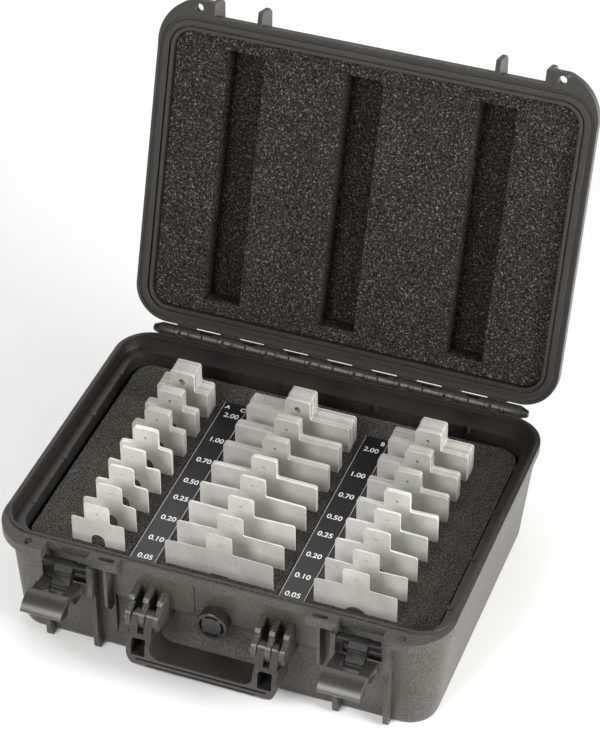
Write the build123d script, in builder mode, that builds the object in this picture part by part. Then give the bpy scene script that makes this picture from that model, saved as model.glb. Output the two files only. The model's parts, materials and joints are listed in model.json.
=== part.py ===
# Moulded carrying case for a set of stepped alignment shims, standing open.
# Millimetres. X runs along the front, Y from front to back, Z up.
# The origin is the centre of the base's flat bottom.
import os
from math import cos, radians, sin

from build123d import *

# Case outline at the rim, where the lid meets the base
case_width = 416.0
case_depth = 302.0
rim_corner = 34.0
base_height = 112.0
lid_height = 46.0
rim_band = 9.0
lid_gap = 0.4

# Moulded walls of the base
floor_thickness = 3.2
wall_overhang = 3.0
wall_draft_sides = 10.0
bottom_chamfer = 5.0
front_wall_inset = 4.0
back_wall_inset = 3.5
back_wall_draft = 8.0
mouth_wall = 6.0
lid_ring = 16.0
ledge_drop = 12.0
ledge_width = 9.5
ledge_bump = 2.6
tongue_width = 2.0
tongue_height = 1.5

# Foam blocks
foam_drop = 23.0
foam_corner = 18.0
soft_gap = 0.6
lid_foam_recess = 4.8
groove_width = 36.0
groove_depth = 22.5
groove_front_room = 5.0
groove_back_room = 25.0

# Steel shim stacks, each size of plate in its own column
plate_sizes = {"a": 50.0, "c": 100.0, "b": 75.0}
slot_widths = {"a": 13.0, "c": 32.0, "b": 21.0}
column_a_margin = 65.0
column_c_shift = -9.0
column_b_margin = 72.0
row_names = ("005", "010", "020", "025", "050", "070", "100", "200")
stack_thickness = (0.5, 1.0, 2.0, 2.5, 5.0, 7.0, 10.0, 20.0)
stack_leaves = (1, 1, 1, 1, 1, 2, 2, 4)
first_row_margin = 13.5
rows_margin = 77.6
row_growth = 0.35
shoulder_above_foam = 27.0
slot_below_shoulder = 15.5
tab_width = 24.0
tab_height = 19.0
tab_hole = 1.6
big_tab_hole = 3.4
plate_corner = 2.5
plate_gap = 0.4

# Printed strips between the columns
strip_clearance = 6.8
strip_front_margin = 3.5
strip_back_margin = 19.5
strip_thickness = 0.8

# Hinge along the back
hinge_outset = 7.5
knuckle_radius = 6.4
hinge_pin_radius = 2.0
pin_fit = 0.05
hinge_end_margin = 32.0
base_knuckle = 25.2
lid_knuckle_count = 8
knuckle_gap = 0.4
end_knuckle = 14.0
end_taper = 8.0
lid_open = 107.6

# Front corners with padlock holes, and the ribs beside the latches
flange_reach = 13.0
padlock_inset = 37.0
padlock_reach = 6.0
padlock_hole = 4.0
latch_inset = 73.0
rib_spacing = 46.0
rib_thickness = 4.5
rib_reach = 12.0
rib_step_reach = 5.0
rib_step_drop = 45.0
lug_width = 28.0
lug_pocket = 14.0
lug_reach = 9.0
lug_depth = 60.0
lug_wall = 3.0
latch_recess = 4.0

# Latches
bar_reach = 7.0
bar_below_rim = 16.0
bar_radius = 3.0
sleeve_radius = 4.5
link_length = 20.0
link_angle = 45.0
link_arm_width = 17.0
lever_width = 38.0
lever_angle = 92.0
lever_pin_radius = 1.8
side_gap = 0.5
flap_reach = 42.0

# Folding handle
handle_x = 58.0
handle_axis_reach = 17.0
handle_axis_below_rim = 41.0
handle_angle = 6.0
handle_half_width = 69.5
handle_reach = 48.0
handle_arm = 22.0
handle_depth = 29.0
handle_hub = 6.5
grip_height = 14.0
window_height = 17.0
window_depth = 22.0
ear_slot_depth = 13.0
ear_pitch = 13.0
ear_thickness = 5.0
ear_radius = 8.5
handle_pin_radius = 2.5

# Pressure valve
valve_below_rim = 43.0
valve_radius = 14.5
valve_stem = 6.0
valve_depth = 12.0
valve_skirt = 2.3
valve_margin = 20.0

rim_z = base_height
hinge_z = rim_z
foam_top = rim_z - foam_drop
lid_z = rim_z + lid_gap
band_top = lid_z + rim_band
lid_top = lid_z + lid_height
mouth_width = case_width - 2 * mouth_wall
mouth_depth = case_depth - 2 * mouth_wall - 1
inner_width = mouth_width - 2 * ledge_width
inner_depth = mouth_depth - 2 * ledge_width
foam_width = inner_width - 9
foam_depth = inner_depth - 9
case_front = -case_depth / 2
front_wall_y = case_front + front_wall_inset
back_wall_y = case_depth / 2 - back_wall_inset
first_row_y = -foam_depth / 2 + first_row_margin
row_pitch = (foam_depth - rows_margin) / (len(row_names) - 1)
column_x = {
    "a": -foam_width / 2 + column_a_margin,
    "c": column_c_shift,
    "b": foam_width / 2 - column_b_margin,
}
hinge_y = case_depth / 2 + hinge_outset
knuckle_pitch = (case_width - 2 * hinge_end_margin) / lid_knuckle_count
flange_front_y = case_front - flange_reach
padlock_x = case_width / 2 - padlock_inset
padlock_y = case_front - padlock_reach
latch_x = case_width / 2 - latch_inset
rib_front_y = case_front - rib_reach
rib_step_y = case_front - rib_step_reach
lug_front_y = case_front - lug_reach
scoop_half = latch_x - rib_spacing / 2 - lug_pocket - 3
bar_y = case_front - bar_reach
handle_axis_y = case_front - handle_axis_reach
lid_foam_z = lid_z + lid_foam_recess
bar_z = rim_z - bar_below_rim
handle_z = rim_z - handle_axis_below_rim
valve_z = rim_z - valve_below_rim
hinge_axis = Axis((0, hinge_y, hinge_z), (1, 0, 0))
lever_pin_y = bar_y - link_length * sin(radians(link_angle))
lever_pin_z = bar_z - link_length * cos(radians(link_angle))


def plan(z, x_half, y_front, y_back, corner):
    """Rounded outline of the case at one height."""
    with BuildSketch(Plane.XY.offset(z)) as outline:
        with Locations((0, (y_front + y_back) / 2)):
            RectangleRounded(2 * x_half, y_back - y_front, corner)
    return outline.sketch


def even_plan(z, width, depth, corner):
    return plan(z, width / 2, -depth / 2, depth / 2, corner)


def row_y(row):
    """Front face of a stack, with the rows wider apart where stacks are thicker."""
    return first_row_y + row_pitch * row + row_growth * sum(stack_thickness[:row])


def knuckle_centres(count):
    return [knuckle_pitch * (i - (count - 1) / 2) for i in range(count)]


def front_corner(side, z, amount):
    """Corner flange with its padlock hole, on the base or on the lid."""
    end = latch_x + rib_spacing / 2 - rib_thickness / 2
    outer = case_width / 2
    with BuildSketch(Plane.XY.offset(z)) as corner:
        with BuildLine():
            Polyline(
                (side * outer, case_front + rim_corner),
                (side * end, case_front + rim_corner),
                (side * end, flange_front_y),
                (side * (padlock_x + 5), flange_front_y),
            )
            ThreePointArc(
                (side * (padlock_x + 5), flange_front_y),
                (side * (outer - 10), case_front + 1),
                (side * outer, case_front + rim_corner),
            )
        make_face()
        with Locations((side * padlock_x, padlock_y)):
            Circle(padlock_hole, mode=Mode.SUBTRACT)
    return extrude(corner.sketch, amount)


def make_base_shell():
    """Deep half: drafted walls, rim with tongue, ledge, ribs, hinge and handle ears."""
    top_half = case_width / 2 - wall_overhang
    bottom_half = top_half - wall_draft_sides
    under_rim = rim_z - rim_band
    bottom_back = back_wall_y - back_wall_draft
    with BuildPart() as base:
        for inset, low, high, next_inset in (
            (4.0, 0.0, 1.5, 1.6),
            (1.6, 1.5, bottom_chamfer, 0.0),
        ):
            loft(
                [
                    plan(low, bottom_half - inset, front_wall_y + inset, bottom_back - inset, 24),
                    plan(high, bottom_half - next_inset, front_wall_y + next_inset,
                         bottom_back - next_inset, 26),
                ],
                ruled=True,
            )
        loft(
            [
                plan(bottom_chamfer, bottom_half, front_wall_y, bottom_back, 26),
                plan(under_rim, top_half, front_wall_y, back_wall_y, 31),
            ],
            ruled=True,
        )
        extrude(even_plan(under_rim, case_width, case_depth, rim_corner), rim_band)

        # Corner flanges, inner lugs and the ribs that hold the latch bars
        for side in (-1, 1):
            add(front_corner(side, under_rim, rim_band))
            inner_rib = side * (latch_x - rib_spacing / 2)
            with BuildSketch(Plane.XY.offset(under_rim)) as lug:
                with Locations((inner_rib - side * (lug_width / 2 - rib_thickness / 2),
                                (lug_front_y + front_wall_y) / 2)):
                    Rectangle(lug_width, front_wall_y - lug_front_y)
                with Locations((inner_rib - side * lug_width / 2, lug_front_y + 4.6)):
                    SlotOverall(lug_width - 13, 4.2, mode=Mode.SUBTRACT)
            extrude(lug.sketch, rim_band)
            lug_end = inner_rib - side * lug_pocket
            with BuildSketch(Plane.YZ.offset(lug_end - lug_wall / 2)) as lug_side:
                with BuildLine():
                    Polyline(
                        (front_wall_y + 3, under_rim),
                        (lug_front_y, under_rim),
                        (lug_front_y, rim_z - lug_depth + 8),
                        (lug_front_y + 6, rim_z - lug_depth),
                        (front_wall_y + 8, rim_z - lug_depth),
                        close=True,
                    )
                make_face()
            extrude(lug_side.sketch, lug_wall)
            for rib_x in (inner_rib, side * (latch_x + rib_spacing / 2)):
                step_z = rim_z - rib_step_drop
                with BuildSketch(Plane.YZ.offset(rib_x - rib_thickness / 2)) as rib:
                    with BuildLine():
                        Polyline(
                            (front_wall_y + 3, under_rim),
                            (rib_front_y, under_rim),
                            (rib_front_y, step_z + 3),
                            (rib_front_y + 3, step_z),
                            (rib_step_y + 1.5, step_z),
                            (rib_step_y, step_z - 2),
                            (rib_step_y, 4),
                            (rib_step_y + 3, 0.5),
                            (front_wall_y + 6, 0.5),
                            close=True,
                        )
                    make_face()
                extrude(rib.sketch, rib_thickness)
            # Pocket behind the latch, between its two ribs
            pocket_width = rib_spacing - rib_thickness
            with BuildSketch(Plane.XZ.offset(-front_wall_y - latch_recess)) as pocket:
                with Locations((side * latch_x, rim_z - rib_step_drop / 2 - rim_band / 2)):
                    RectangleRounded(pocket_width - 1, rib_step_drop - rim_band - 2, 3)
            extrude(pocket.sketch, latch_recess + 1, mode=Mode.SUBTRACT)

        # Raised panels either side of the valve and the hollow behind the handle
        with BuildSketch(Plane.YZ.offset(-scoop_half)) as scoop:
            with BuildLine():
                Polyline(
                    (front_wall_y - 2, rim_z - 46),
                    (front_wall_y, rim_z - 46),
                    (front_wall_y + 6, rim_z - 54),
                    (front_wall_y + 6, 30),
                    (front_wall_y - 2, 12),
                    close=True,
                )
            make_face()
        extrude(scoop.sketch, 2 * scoop_half, mode=Mode.SUBTRACT)
        with BuildSketch(Plane.XZ.offset(-front_wall_y)) as panels:
            panel_width = scoop_half - valve_margin - 2
            panel_x = valve_margin + panel_width / 2
            with Locations((-panel_x, rim_z - 27.5), (panel_x, rim_z - 27.5)):
                RectangleRounded(panel_width, 35, 4)
        extrude(panels.sketch, 1.2)

        # Room inside: the part below the ledge, then the wider mouth
        loft(
            [
                even_plan(floor_thickness, foam_width + 2 * soft_gap, foam_depth + 2 * soft_gap,
                          foam_corner + soft_gap),
                even_plan(rim_z - ledge_drop, inner_width, inner_depth, foam_corner + 4.5),
            ],
            ruled=True,
            mode=Mode.SUBTRACT,
        )
        extrude(even_plan(rim_z - ledge_drop, mouth_width, mouth_depth, rim_corner - mouth_wall),
                ledge_drop + 1, mode=Mode.SUBTRACT)

        # Small round stops along the ledge
        with BuildSketch(Plane.XY.offset(rim_z - ledge_drop - 6)) as bumps:
            with GridLocations(inner_width + 2, (inner_depth - 14) / 4, 2, 4):
                Circle(ledge_bump)
            with GridLocations((inner_width - 25) / 4, inner_depth + 2, 4, 2):
                Circle(ledge_bump)
        extrude(bumps.sketch, 7)

        # Tongue that presses into the gasket
        with BuildSketch(Plane.XY.offset(rim_z)) as tongue:
            RectangleRounded(mouth_width + 2 * (1 + tongue_width), mouth_depth + 2 * (1 + tongue_width),
                             rim_corner - mouth_wall + 1 + tongue_width)
            RectangleRounded(mouth_width + 2, mouth_depth + 2, rim_corner - mouth_wall + 1,
                             mode=Mode.SUBTRACT)
        extrude(tongue.sketch, tongue_height)

        # Hinge knuckles of the base, with their webs down to the rim
        base_centres = knuckle_centres(lid_knuckle_count - 1)
        end_start = knuckle_pitch * lid_knuckle_count / 2 - base_knuckle / 2
        spans = [(x - base_knuckle / 2, base_knuckle) for x in base_centres]
        spans += [(end_start, end_knuckle), (-end_start - end_knuckle, end_knuckle)]
        for start, length in spans:
            with BuildSketch(Plane.YZ.offset(start)) as knuckle:
                with Locations((hinge_y, hinge_z)):
                    Circle(knuckle_radius)
                with BuildLine():
                    Polyline(
                        (case_depth / 2 - 1, rim_z - 0.5),
                        (hinge_y, rim_z - 0.5),
                        (hinge_y, rim_z - knuckle_radius),
                        (case_depth / 2 - 1, rim_z - rim_band - 5),
                        close=True,
                    )
                make_face()
            extrude(knuckle.sketch, length)
        for side in (-1, 1):
            with BuildSketch(Plane.YZ.offset(side * (end_start + end_knuckle))) as tip:
                with Locations((hinge_y, hinge_z)):
                    Circle(knuckle_radius)
            with BuildSketch(Plane.YZ.offset(side * (end_start + end_knuckle + end_taper))) as point:
                with Locations((hinge_y, hinge_z)):
                    Circle(knuckle_radius / 2)
            loft([tip.sketch, point.sketch])
        with BuildSketch(Plane.XY.offset(hinge_z + knuckle_radius - 1.5)) as windows:
            with Locations(*[(x, hinge_y) for x in base_centres]):
                Rectangle(12, 4.6)
        extrude(windows.sketch, 3, mode=Mode.SUBTRACT)
        with BuildSketch(Plane.YZ.offset(-end_start - end_knuckle)) as pin_bore:
            with Locations((hinge_y, hinge_z)):
                Circle(hinge_pin_radius + pin_fit)
        extrude(pin_bore.sketch, 2 * (end_start + end_knuckle), mode=Mode.SUBTRACT)

        # Three ears at each end of the handle, and the valve's seat
        for side in (-1, 1):
            for step in (-1, 0, 1):
                ear_x = side * handle_x + step * ear_pitch - ear_thickness / 2
                with BuildSketch(Plane.YZ.offset(ear_x)) as ear:
                    with Locations((handle_axis_y, handle_z)):
                        Circle(ear_radius)
                    with BuildLine():
                        Polyline(
                            (front_wall_y + 7, handle_z + ear_radius + 9),
                            (handle_axis_y + 8, handle_z + ear_radius + 8),
                            (handle_axis_y + 5, handle_z + ear_radius + 7),
                            (handle_axis_y - 4, handle_z + ear_radius - 1),
                            (handle_axis_y - ear_radius, handle_z),
                            (handle_axis_y - ear_radius + 1, handle_z - ear_radius),
                            (handle_axis_y + 2, handle_z - ear_radius - 2),
                            (front_wall_y + 7, handle_z - ear_radius - 9),
                            close=True,
                        )
                    make_face()
                    with Locations((handle_axis_y - 1, handle_z + ear_radius + 0.5)):
                        Rectangle(9, 4.5, rotation=30, mode=Mode.SUBTRACT)
                extrude(ear.sketch, ear_thickness)
            with BuildSketch(Plane.YZ.offset(side * handle_x - 2 * ear_pitch)) as ear_bore:
                with Locations((handle_axis_y, handle_z)):
                    Circle(handle_pin_radius)
            extrude(ear_bore.sketch, 4 * ear_pitch, mode=Mode.SUBTRACT)
            with BuildSketch(Plane.YZ.offset(side * latch_x - rib_spacing / 2 - rib_thickness / 2)) as bar_bore:
                with Locations((bar_y, bar_z)):
                    Circle(bar_radius)
            extrude(bar_bore.sketch, rib_spacing + rib_thickness, mode=Mode.SUBTRACT)
        with BuildSketch(Plane.XZ.offset(-front_wall_y - 16)) as valve_bore:
            with Locations((0, valve_z)):
                Circle(valve_stem)
        extrude(valve_bore.sketch, 20, mode=Mode.SUBTRACT)
    base.part.label = "base_shell"
    return base.part


def make_lid_shell():
    """Shallow half, drawn closed and then swung open about the hinge."""
    with BuildPart() as lid:
        extrude(even_plan(lid_z, case_width, case_depth, rim_corner), rim_band)
        loft(
            [
                even_plan(band_top, case_width - 14, case_depth - 14, rim_corner - 6),
                even_plan(lid_top - 4, case_width - 20, case_depth - 20, rim_corner - 8),
            ],
            ruled=True,
        )
        loft(
            [
                even_plan(lid_top - 4, case_width - 20, case_depth - 20, rim_corner - 8),
                even_plan(lid_top, case_width - 28, case_depth - 28, rim_corner - 12),
            ],
            ruled=True,
        )
        for side in (-1, 1):
            add(front_corner(side, lid_z, rim_band))
            for rib_x in (side * (latch_x - rib_spacing / 2), side * (latch_x + rib_spacing / 2)):
                with BuildSketch(Plane.YZ.offset(rib_x - rib_thickness / 2)) as ear:
                    with BuildLine():
                        Polyline(
                            (-case_depth / 2 + 12, lid_z),
                            (flange_front_y, lid_z),
                            (flange_front_y, lid_z + 20),
                            (flange_front_y + 4, lid_z + 26),
                            (-case_depth / 2 + 12, lid_z + 32),
                            close=True,
                        )
                    make_face()
                extrude(ear.sketch, rib_thickness)
        # Hollow for the foam
        extrude(even_plan(lid_z, case_width - 2 * lid_ring, case_depth - 2 * lid_ring, foam_corner),
                lid_height - floor_thickness, mode=Mode.SUBTRACT)
        # Gasket groove outside, plain groove inside
        groove_half = mouth_width / 2 + 0.2
        groove_back = mouth_depth / 2 + 0.2
        with BuildSketch(Plane.XY.offset(lid_z)) as grooves:
            RectangleRounded(2 * groove_half + 7.2, 2 * groove_back + 7.2, rim_corner - 2.4)
            RectangleRounded(2 * groove_half, 2 * groove_back, rim_corner - 6, mode=Mode.SUBTRACT)
        extrude(grooves.sketch, 5, mode=Mode.SUBTRACT)
        with BuildSketch(Plane.XY.offset(lid_z)) as inner_groove:
            RectangleRounded(case_width - 22, case_depth - 22, rim_corner - 11)
            RectangleRounded(case_width - 26, case_depth - 26, rim_corner - 13, mode=Mode.SUBTRACT)
        extrude(inner_groove.sketch, 3, mode=Mode.SUBTRACT)
        # Narrow hinge knuckles with webs up to the band
        narrow = knuckle_pitch - base_knuckle - 2 * knuckle_gap
        lid_centres = knuckle_centres(lid_knuckle_count)
        for x in lid_centres:
            with BuildSketch(Plane.YZ.offset(x - narrow / 2)) as knuckle:
                with Locations((hinge_y, hinge_z)):
                    Circle(knuckle_radius)
                with BuildLine():
                    Polyline(
                        (case_depth / 2 - 1, lid_z + 0.5),
                        (hinge_y, lid_z + 0.5),
                        (hinge_y, hinge_z + knuckle_radius),
                        (case_depth / 2 - 1, band_top),
                        close=True,
                    )
                make_face()
                with Locations((hinge_y, hinge_z)):
                    Circle(hinge_pin_radius + pin_fit, mode=Mode.SUBTRACT)
            extrude(knuckle.sketch, narrow)
        with BuildSketch(Plane.XY.offset(hinge_z - knuckle_radius - 1)) as windows:
            with Locations(*[(x, hinge_y) for x in lid_centres]):
                Rectangle(10, 4.6)
        extrude(windows.sketch, 2.5, mode=Mode.SUBTRACT)
    opened = lid.part.rotate(hinge_axis, -lid_open)
    opened.label = "lid_shell"
    return opened


def make_gasket():
    """Rubber cord ring that fills the lid's outer groove."""
    with BuildPart() as gasket:
        with BuildSketch(Plane.XY.offset(lid_z + 1.6)) as ring:
            RectangleRounded(mouth_width + 7.4, mouth_depth + 7.4, rim_corner - 2.5)
            RectangleRounded(mouth_width + 0.6, mouth_depth + 0.6, rim_corner - 5.9, mode=Mode.SUBTRACT)
        extrude(ring.sketch, 3.4)
    opened = gasket.part.rotate(hinge_axis, -lid_open)
    opened.label = "gasket"
    return opened


def make_hinge_pin():
    length = knuckle_pitch * lid_knuckle_count - base_knuckle + 2 * end_knuckle
    with BuildPart() as pin:
        with BuildSketch(Plane.YZ.offset(-length / 2)) as section:
            with Locations((hinge_y, hinge_z)):
                Circle(hinge_pin_radius)
        extrude(section.sketch, length)
    pin.part.label = "hinge_pin"
    return pin.part


def make_base_foam():
    """Foam block with one pocket for each stack."""
    with BuildPart() as foam:
        extrude(even_plan(floor_thickness, foam_width, foam_depth, foam_corner),
                foam_top - floor_thickness)
        for column, size in plate_sizes.items():
            for row, thickness in enumerate(stack_thickness):
                with BuildSketch(Plane.XY.offset(foam_top)) as pocket:
                    with Locations((column_x[column], row_y(row) + thickness / 2)):
                        Rectangle(size + 2 * plate_gap, thickness + 2 * plate_gap)
                extrude(pocket.sketch, -(size - shoulder_above_foam + plate_gap), mode=Mode.SUBTRACT)
    foam.part.label = "base_foam"
    return foam.part


def make_lid_foam():
    """Foam in the lid, with three long grooves that clear the plate tabs."""
    width = case_width - 2 * lid_ring - 2 * soft_gap
    depth = case_depth - 2 * lid_ring - 2 * soft_gap
    foam_back = lid_top - floor_thickness - lid_foam_z
    last = row_y(len(stack_thickness) - 1) + stack_thickness[-1]
    with BuildPart() as foam:
        extrude(even_plan(lid_foam_z, width, depth, foam_corner - soft_gap), foam_back)
        with BuildSketch(Plane.XY.offset(lid_foam_z)) as grooves:
            front, back = first_row_y - groove_front_room, last + groove_back_room
            with Locations(*[(x, (front + back) / 2) for x in column_x.values()]):
                RectangleRounded(groove_width, back - front, 5)
        extrude(grooves.sketch, groove_depth, mode=Mode.SUBTRACT)
    opened = foam.part.rotate(hinge_axis, -lid_open)
    opened.label = "lid_foam"
    return opened


def make_strip(index):
    """Printed strip on the foam, in the middle of the space between two columns."""
    near, far = (("a", "c"), ("c", "b"))[index]
    left = column_x[near] + plate_sizes[near] / 2 + strip_clearance
    right = column_x[far] - plate_sizes[far] / 2 - strip_clearance
    front = -foam_depth / 2 + strip_front_margin
    back = foam_depth / 2 - strip_back_margin
    with BuildPart() as strip:
        with BuildSketch(Plane.XY.offset(foam_top)) as outline:
            with Locations(((left + right) / 2, (front + back) / 2)):
                Rectangle(right - left, back - front)
        extrude(outline.sketch, strip_thickness)
    strip.part.label = ("label_strip_left", "label_strip_right")[index]
    return strip.part


def make_stack(column, row):
    """One stack of plates standing in its pocket, tab up and slot down."""
    size = plate_sizes[column]
    thickness = stack_thickness[row]
    leaves = stack_leaves[row]
    shoulder = foam_top + shoulder_above_foam
    bottom = shoulder - size
    slot_top = shoulder - slot_below_shoulder * size / plate_sizes["a"]
    slot_half = slot_widths[column] / 2
    hole = big_tab_hole if row == len(row_names) - 1 and column != "b" else tab_hole
    x = column_x[column]
    leaf = thickness / leaves
    pieces = []
    with BuildPart():
        for i in range(leaves):
            with BuildSketch(Plane.XZ.offset(-(row_y(row) + i * leaf))) as plate:
                with Locations((x, bottom + size / 2)):
                    RectangleRounded(size, size, plate_corner)
                with Locations((x, shoulder + tab_height / 2 - 2)):
                    RectangleRounded(tab_width, tab_height + 4, plate_corner)
                with Locations((x, slot_top - slot_half)):
                    Circle(slot_half, mode=Mode.SUBTRACT)
                with Locations((x, (bottom + slot_top - slot_half) / 2 - 1)):
                    Rectangle(2 * slot_half, slot_top - slot_half - bottom + 2, mode=Mode.SUBTRACT)
                with Locations((x, shoulder + tab_height * 0.45)):
                    Circle(hole, mode=Mode.SUBTRACT)
            pieces.append(extrude(plate.sketch, -leaf, mode=Mode.PRIVATE))
    group = Compound(children=[piece.solid() for piece in pieces])
    group.label = f"shims_{column}_{row_names[row]}"
    return group


def make_latch_bar(side):
    with BuildPart() as bar:
        start = side * latch_x - rib_spacing / 2 - rib_thickness / 2
        with BuildSketch(Plane.YZ.offset(start)) as section:
            with Locations((bar_y, bar_z)):
                Circle(bar_radius)
        extrude(section.sketch, rib_spacing + rib_thickness)
    bar.part.label = "latch_bar_left" if side < 0 else "latch_bar_right"
    return bar.part


def make_latch_link(side):
    """Sleeve that turns on the bar, with the arm that carries the lever."""
    sleeve = rib_spacing - rib_thickness - 2 * side_gap
    pin = (bar_y, bar_z - link_length)
    with BuildPart() as link:
        with BuildSketch(Plane.YZ.offset(side * latch_x - sleeve / 2)) as tube:
            with Locations((bar_y, bar_z)):
                Circle(sleeve_radius)
        extrude(tube.sketch, sleeve)
        with BuildSketch(Plane.YZ.offset(side * latch_x - link_arm_width / 2)) as arm:
            with Locations(pin):
                Circle(4.2)
            with Locations(((bar_y + pin[0]) / 2, (bar_z + pin[1]) / 2)):
                Rectangle(7.4, link_length)
            with Locations((bar_y - 1.3, bar_z - 3.4)):
                Rectangle(9.6, 6.8)
            with Locations((bar_y - 0.7, bar_z - 5)):
                Rectangle(8.4, 10)
            with Locations((bar_y, bar_z)):
                Circle(sleeve_radius + 0.7)
        extrude(arm.sketch, link_arm_width)
        with BuildSketch(Plane.YZ.offset(side * latch_x - sleeve / 2)) as bores:
            with Locations((bar_y, bar_z)):
                Circle(bar_radius + pin_fit)
            with Locations(pin):
                Circle(lever_pin_radius)
        extrude(bores.sketch, sleeve, mode=Mode.SUBTRACT)
    turned = link.part.rotate(Axis((0, bar_y, bar_z), (1, 0, 0)), -link_angle)
    turned.label = "latch_link_left" if side < 0 else "latch_link_right"
    return turned


# Lever in profile as (down, out) from its pin: pin end to lip, then back under the flap to the hook
lever_outer = (
    (-9.5, -10.5), (-9.5, 1.0), (-4.0, 5.4), (5.0, 5.8), (8.5, 8.3), (20.5, 8.3), (21.5, 12.8),
)
lever_inner = (
    (flap_reach, 2.6), (flap_reach - 1.4, 0.4), (33.0, 7.2), (25.5, 6.3), (14.5, 6.3), (6.0, 0.0),
    (0.0, -5.5), (-5.8, -4.6), (-5.8, -10.5), (-9.5, -10.5),
)


def lever_point(down, out):
    """Point on the lever in its closed stance, from its pin."""
    return (lever_pin_y - out, lever_pin_z - down)


def make_latch_lever(side):
    """Curved lever: two hooked cheeks on the link's pin, and the thumb flap."""
    left = side * latch_x - lever_width / 2
    arm_room = link_arm_width + 2 * side_gap
    with BuildPart() as lever:
        with BuildSketch(Plane.YZ.offset(left)) as cheek:
            with BuildLine():
                Polyline(*[lever_point(down, out) for down, out in lever_outer])
                ThreePointArc(lever_point(21.5, 12.8), lever_point(33.5, 10.6), lever_point(flap_reach, 2.6))
                Polyline(*[lever_point(down, out) for down, out in lever_inner])
            make_face()
            with Locations((lever_pin_y, lever_pin_z)):
                Circle(lever_pin_radius + pin_fit, mode=Mode.SUBTRACT)
        extrude(cheek.sketch, lever_width)
        # Open middle, where the link's arm passes
        with BuildSketch(Plane.XY.offset(lever_pin_z - 21)) as middle:
            with Locations((side * latch_x, lever_pin_y)):
                Rectangle(arm_room, 60)
        extrude(middle.sketch, 38, mode=Mode.SUBTRACT)
    turned = lever.part.rotate(Axis((0, lever_pin_y, lever_pin_z), (1, 0, 0)), -lever_angle)
    turned.label = "latch_lever_left" if side < 0 else "latch_lever_right"
    return turned


def make_latch_pin(side):
    with BuildPart() as pin:
        with BuildSketch(Plane.YZ.offset(side * latch_x - lever_width / 2)) as section:
            with Locations((lever_pin_y, lever_pin_z)):
                Circle(lever_pin_radius)
        extrude(section.sketch, lever_width)
    pin.part.label = "latch_pin_left" if side < 0 else "latch_pin_right"
    return pin.part


def handle_profile():
    """Side view of the handle: a round hub that widens into a deep grip."""
    front = handle_axis_y - handle_depth / 2
    back = handle_axis_y + handle_depth / 2
    foot = handle_z - handle_reach
    with BuildSketch(Plane.YZ.offset(-handle_half_width)) as profile:
        with Locations((handle_axis_y, handle_z)):
            Circle(handle_hub)
        with BuildLine():
            Polyline(
                (handle_axis_y - handle_hub, handle_z),
                (front + 3, handle_z - ear_slot_depth - 3),
                (front, handle_z - ear_slot_depth - 9),
                (front, foot + 5),
                (front + 4, foot),
                (back - 6, foot),
                (back, foot + 7),
                (back, handle_z - ear_slot_depth - 10),
                (handle_axis_y + handle_hub, handle_z),
                close=True,
            )
        make_face()
    return profile.sketch


def make_handle():
    """Deep U shaped handle, drawn hanging straight down and then swung out a little to rest."""
    front = handle_axis_y - handle_depth / 2
    inside = handle_half_width - handle_arm
    arm_x = handle_half_width - handle_arm / 2
    with BuildPart() as handle:
        extrude(handle_profile(), 2 * handle_half_width)
        with BuildSketch(Plane.XZ.offset(-handle_axis_y - handle_depth)) as outline:
            with Locations((0, handle_z - handle_reach / 2 + 6)):
                RectangleRounded(2 * handle_half_width, handle_reach + 12, 17)
        extrude(outline.sketch, 2 * handle_depth, mode=Mode.INTERSECT)
        with BuildSketch(Plane.XZ.offset(-handle_axis_y - handle_depth)) as opening:
            with Locations((0, handle_z - handle_reach + grip_height + handle_reach / 2)):
                RectangleRounded(2 * inside, handle_reach, 10)
        extrude(opening.sketch, 2 * handle_depth, mode=Mode.SUBTRACT)
        # Hollow boxes in the arms, open to the front
        with BuildSketch(Plane.XZ.offset(-front - window_depth)) as windows:
            with Locations(*[(side * arm_x, handle_z - ear_slot_depth - 4 - window_height / 2)
                             for side in (-1, 1)]):
                RectangleRounded(handle_arm - 9, window_height, 2)
        extrude(windows.sketch, window_depth + 1, mode=Mode.SUBTRACT)
        # Two long grooves in the front of the grip
        with BuildSketch(Plane.XZ.offset(-front - 2.5)) as lines:
            groove_z = handle_z - handle_reach + grip_height / 2
            with Locations((0, groove_z + 3.4)):
                SlotOverall(2 * handle_half_width - 18, 2)
            with Locations((0, groove_z - 1.6)):
                SlotOverall(2 * handle_half_width - 38, 2)
        extrude(lines.sketch, 3, mode=Mode.SUBTRACT)
        # Slots that the ears fill, and the bores for the pins
        for side in (-1, 1):
            with BuildSketch(Plane.XZ.offset(-handle_axis_y - handle_depth)) as slots:
                with Locations(*[(side * handle_x + step * ear_pitch, handle_z - ear_slot_depth + 20)
                                 for step in (-1, 0, 1)]):
                    Rectangle(ear_thickness + 2 * side_gap, 40)
            extrude(slots.sketch, 2 * handle_depth, mode=Mode.SUBTRACT)
            with BuildSketch(Plane.YZ.offset(side * handle_x - 2 * ear_pitch)) as bore:
                with Locations((handle_axis_y, handle_z)):
                    Circle(handle_pin_radius + pin_fit)
            extrude(bore.sketch, 4 * ear_pitch, mode=Mode.SUBTRACT)
    swung = handle.part.rotate(Axis((0, handle_axis_y, handle_z), (1, 0, 0)), -handle_angle)
    swung.label = "handle"
    return swung


def make_handle_pins():
    with BuildPart() as pins:
        for side in (-1, 1):
            with BuildSketch(Plane.YZ.offset(side * handle_x - ear_pitch - ear_thickness / 2)) as section:
                with Locations((handle_axis_y, handle_z)):
                    Circle(handle_pin_radius)
            extrude(section.sketch, 2 * ear_pitch + ear_thickness)
    pins.part.label = "handle_pins"
    return pins.part


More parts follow.
